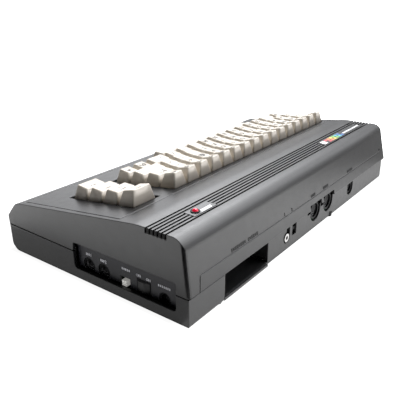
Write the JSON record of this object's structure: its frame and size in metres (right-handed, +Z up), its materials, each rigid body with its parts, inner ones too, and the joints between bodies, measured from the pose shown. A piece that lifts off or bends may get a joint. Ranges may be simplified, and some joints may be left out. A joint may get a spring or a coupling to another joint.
{
  "type": "vintage home computer",
  "caption": "Low wedge-shaped charcoal home computer with a built-in cream keyboard, vented hump, side and rear sockets, cartridge slot, power rocker and reset button.",
  "frame": {"origin": "centre of the object's box at the table, under the feet", "axes": "+X to the user's right, +Y to the rear where the sockets are, +Z up"},
  "size_m": [0.404, 0.2197, 0.0792],
  "materials": {
    "case_plastic": "satin moulded charcoal plastic",
    "panel_plastic": "satin dark plastic with light marks",
    "badge_metal": "brushed silver plate",
    "lamp_red": "clear red plastic",
    "black_plastic": "black moulded plastic",
    "key_plastic": "cream keycap plastic",
    "white_plastic": "white plastic",
    "circuit_board": "green circuit board",
    "bare_metal": "plated steel",
    "cable": "flat cable",
    "foot_rubber": "black rubber"
  },
  "bodies": {
    "case": {"top_case": "case_plastic", "bottom_case": "case_plastic", "port_panel": "panel_plastic", "name_badge": "badge_metal", "power_badge": "badge_metal", "led_lens": "lamp_red", "led_bezel": "black_plastic", "led_cable": "cable", "keyboard_frame": "black_plastic", "keyboard_board": "circuit_board", "key_springs": "bare_metal", "keyboard_cable": "cable", "main_board": "circuit_board", "chips": "black_plastic", "capacitors": "black_plastic", "rf_shield": "bare_metal", "voltage_regulator": "bare_metal", "rf_modulator": "bare_metal", "rca_jack": "bare_metal", "channel_switch_body": "black_plastic", "cartridge_connector": "black_plastic", "video_socket": "black_plastic", "serial_socket": "black_plastic", "cassette_socket": "black_plastic", "game_socket_1": "black_plastic", "game_socket_2": "black_plastic", "power_socket": "black_plastic", "power_switch_housing": "black_plastic", "reset_switch_body": "black_plastic", "feet": "foot_rubber", "case_screws": "bare_metal", "board_screws": "bare_metal", "keyboard_screws": "bare_metal"},
    "number_keys": {"number_keys": "key_plastic"},
    "cursor_left_key": {"cursor_left_key": "key_plastic"},
    "cursor_right_key": {"cursor_right_key": "key_plastic"},
    "cursor_up_key": {"cursor_up_key": "key_plastic"},
    "cursor_down_key": {"cursor_down_key": "key_plastic"},
    "delete_key": {"delete_key": "key_plastic"},
    "control_key": {"control_key": "key_plastic"},
    "upper_letter_keys": {"upper_letter_keys": "key_plastic"},
    "home_key": {"home_key": "key_plastic"},
    "stop_key": {"stop_key": "key_plastic"},
    "shift_lock_key": {"shift_lock_key": "key_plastic"},
    "home_row_keys": {"home_row_keys": "key_plastic"},
    "return_key": {"return_key": "key_plastic"},
    "symbol_key": {"symbol_key": "key_plastic"},
    "left_shift_key": {"left_shift_key": "key_plastic"},
    "lower_letter_keys": {"lower_letter_keys": "key_plastic"},
    "right_shift_key": {"right_shift_key": "key_plastic"},
    "escape_key": {"escape_key": "key_plastic"},
    "space_bar": {"space_bar": "key_plastic"},
    "function_key_1": {"function_key_1": "key_plastic"},
    "function_key_2": {"function_key_2": "key_plastic"},
    "function_key_3": {"function_key_3": "key_plastic"},
    "function_key_4": {"function_key_4": "key_plastic"},
    "reset_button": {"reset_button": "white_plastic"},
    "power_rocker": {"power_rocker": "black_plastic"},
    "channel_slider": {"channel_slider": "black_plastic"}
  },
  "joints": [
    {"name": "number_keys_press", "type": "slide", "parent": "case", "child": "number_keys", "axis": [0, 0.1289, -0.9917], "range_m": [0, 0.004], "stiffness_N_per_m": 1650, "springref_m": -0.003},
    {"name": "cursor_left_key_press", "type": "slide", "parent": "case", "child": "cursor_left_key", "axis": [0, 0.1289, -0.9917], "range_m": [0, 0.004], "stiffness_N_per_m": 150, "springref_m": -0.003},
    {"name": "cursor_right_key_press", "type": "slide", "parent": "case", "child": "cursor_right_key", "axis": [0, 0.1289, -0.9917], "range_m": [0, 0.004], "stiffness_N_per_m": 150, "springref_m": -0.003},
    {"name": "cursor_up_key_press", "type": "slide", "parent": "case", "child": "cursor_up_key", "axis": [0, 0.1289, -0.9917], "range_m": [0, 0.004], "stiffness_N_per_m": 150, "springref_m": -0.003},
    {"name": "cursor_down_key_press", "type": "slide", "parent": "case", "child": "cursor_down_key", "axis": [0, 0.1289, -0.9917], "range_m": [0, 0.004], "stiffness_N_per_m": 150, "springref_m": -0.003},
    {"name": "delete_key_press", "type": "slide", "parent": "case", "child": "delete_key", "axis": [0, 0.1289, -0.9917], "range_m": [0, 0.004], "stiffness_N_per_m": 150, "springref_m": -0.003},
    {"name": "control_key_press", "type": "slide", "parent": "case", "child": "control_key", "axis": [0, 0.1289, -0.9917], "range_m": [0, 0.004], "stiffness_N_per_m": 150, "springref_m": -0.003},
    {"name": "upper_letter_keys_press", "type": "slide", "parent": "case", "child": "upper_letter_keys", "axis": [0, 0.1289, -0.9917], "range_m": [0, 0.004], "stiffness_N_per_m": 1950, "springref_m": -0.003},
    {"name": "home_key_press", "type": "slide", "parent": "case", "child": "home_key", "axis": [0, 0.1289, -0.9917], "range_m": [0, 0.004], "stiffness_N_per_m": 150, "springref_m": -0.003},
    {"name": "stop_key_press", "type": "slide", "parent": "case", "child": "stop_key", "axis": [0, 0.1289, -0.9917], "range_m": [0, 0.004], "stiffness_N_per_m": 150, "springref_m": -0.003},
    {"name": "shift_lock_key_press", "type": "slide", "parent": "case", "child": "shift_lock_key", "axis": [0, 0.1289, -0.9917], "range_m": [0, 0.004], "stiffness_N_per_m": 150, "springref_m": -0.003},
    {"name": "home_row_keys_press", "type": "slide", "parent": "case", "child": "home_row_keys", "axis": [0, 0.1289, -0.9917], "range_m": [0, 0.004], "stiffness_N_per_m": 1800, "springref_m": -0.003},
    {"name": "return_key_press", "type": "slide", "parent": "case", "child": "return_key", "axis": [0, 0.1289, -0.9917], "range_m": [0, 0.004], "stiffness_N_per_m": 150, "springref_m": -0.003},
    {"name": "symbol_key_press", "type": "slide", "parent": "case", "child": "symbol_key", "axis": [0, 0.1289, -0.9917], "range_m": [0, 0.004], "stiffness_N_per_m": 150, "springref_m": -0.003},
    {"name": "left_shift_key_press", "type": "slide", "parent": "case", "child": "left_shift_key", "axis": [0, 0.1289, -0.9917], "range_m": [0, 0.004], "stiffness_N_per_m": 150, "springref_m": -0.003},
    {"name": "lower_letter_keys_press", "type": "slide", "parent": "case", "child": "lower_letter_keys", "axis": [0, 0.1289, -0.9917], "range_m": [0, 0.004], "stiffness_N_per_m": 1500, "springref_m": -0.003},
    {"name": "right_shift_key_press", "type": "slide", "parent": "case", "child": "right_shift_key", "axis": [0, 0.1289, -0.9917], "range_m": [0, 0.004], "stiffness_N_per_m": 150, "springref_m": -0.003},
    {"name": "escape_key_press", "type": "slide", "parent": "case", "child": "escape_key", "axis": [0, 0.1289, -0.9917], "range_m": [0, 0.004], "stiffness_N_per_m": 300, "springref_m": -0.003},
    {"name": "space_bar_press", "type": "slide", "parent": "case", "child": "space_bar", "axis": [0, 0.1289, -0.9917], "range_m": [0, 0.004], "stiffness_N_per_m": 450, "springref_m": -0.003},
    {"name": "function_key_1_press", "type": "slide", "parent": "case", "child": "function_key_1", "axis": [0, 0.1289, -0.9917], "range_m": [0, 0.004], "stiffness_N_per_m": 150, "springref_m": -0.003},
    {"name": "function_key_2_press", "type": "slide", "parent": "case", "child": "function_key_2", "axis": [0, 0.1289, -0.9917], "range_m": [0, 0.004], "stiffness_N_per_m": 150, "springref_m": -0.003},
    {"name": "function_key_3_press", "type": "slide", "parent": "case", "child": "function_key_3", "axis": [0, 0.1289, -0.9917], "range_m": [0, 0.004], "stiffness_N_per_m": 150, "springref_m": -0.003},
    {"name": "function_key_4_press", "type": "slide", "parent": "case", "child": "function_key_4", "axis": [0, 0.1289, -0.9917], "range_m": [0, 0.004], "stiffness_N_per_m": 150, "springref_m": -0.003},
    {"name": "reset_press", "type": "slide", "parent": "case", "child": "reset_button", "axis": [-1, 0, 0], "range_m": [0, 0.0015], "stiffness_N_per_m": 300, "springref_m": -0.002},
    {"name": "power_tip", "type": "hinge", "parent": "case", "child": "power_rocker", "pos_m": [0.196, 0.0616, 0.0153], "axis": [0, 0, 1], "range_deg": [-24, 0]},
    {"name": "channel_slide", "type": "slide", "parent": "case", "child": "channel_slider", "axis": [1, 0, 0], "range_m": [0, 0.003]}
  ]
}
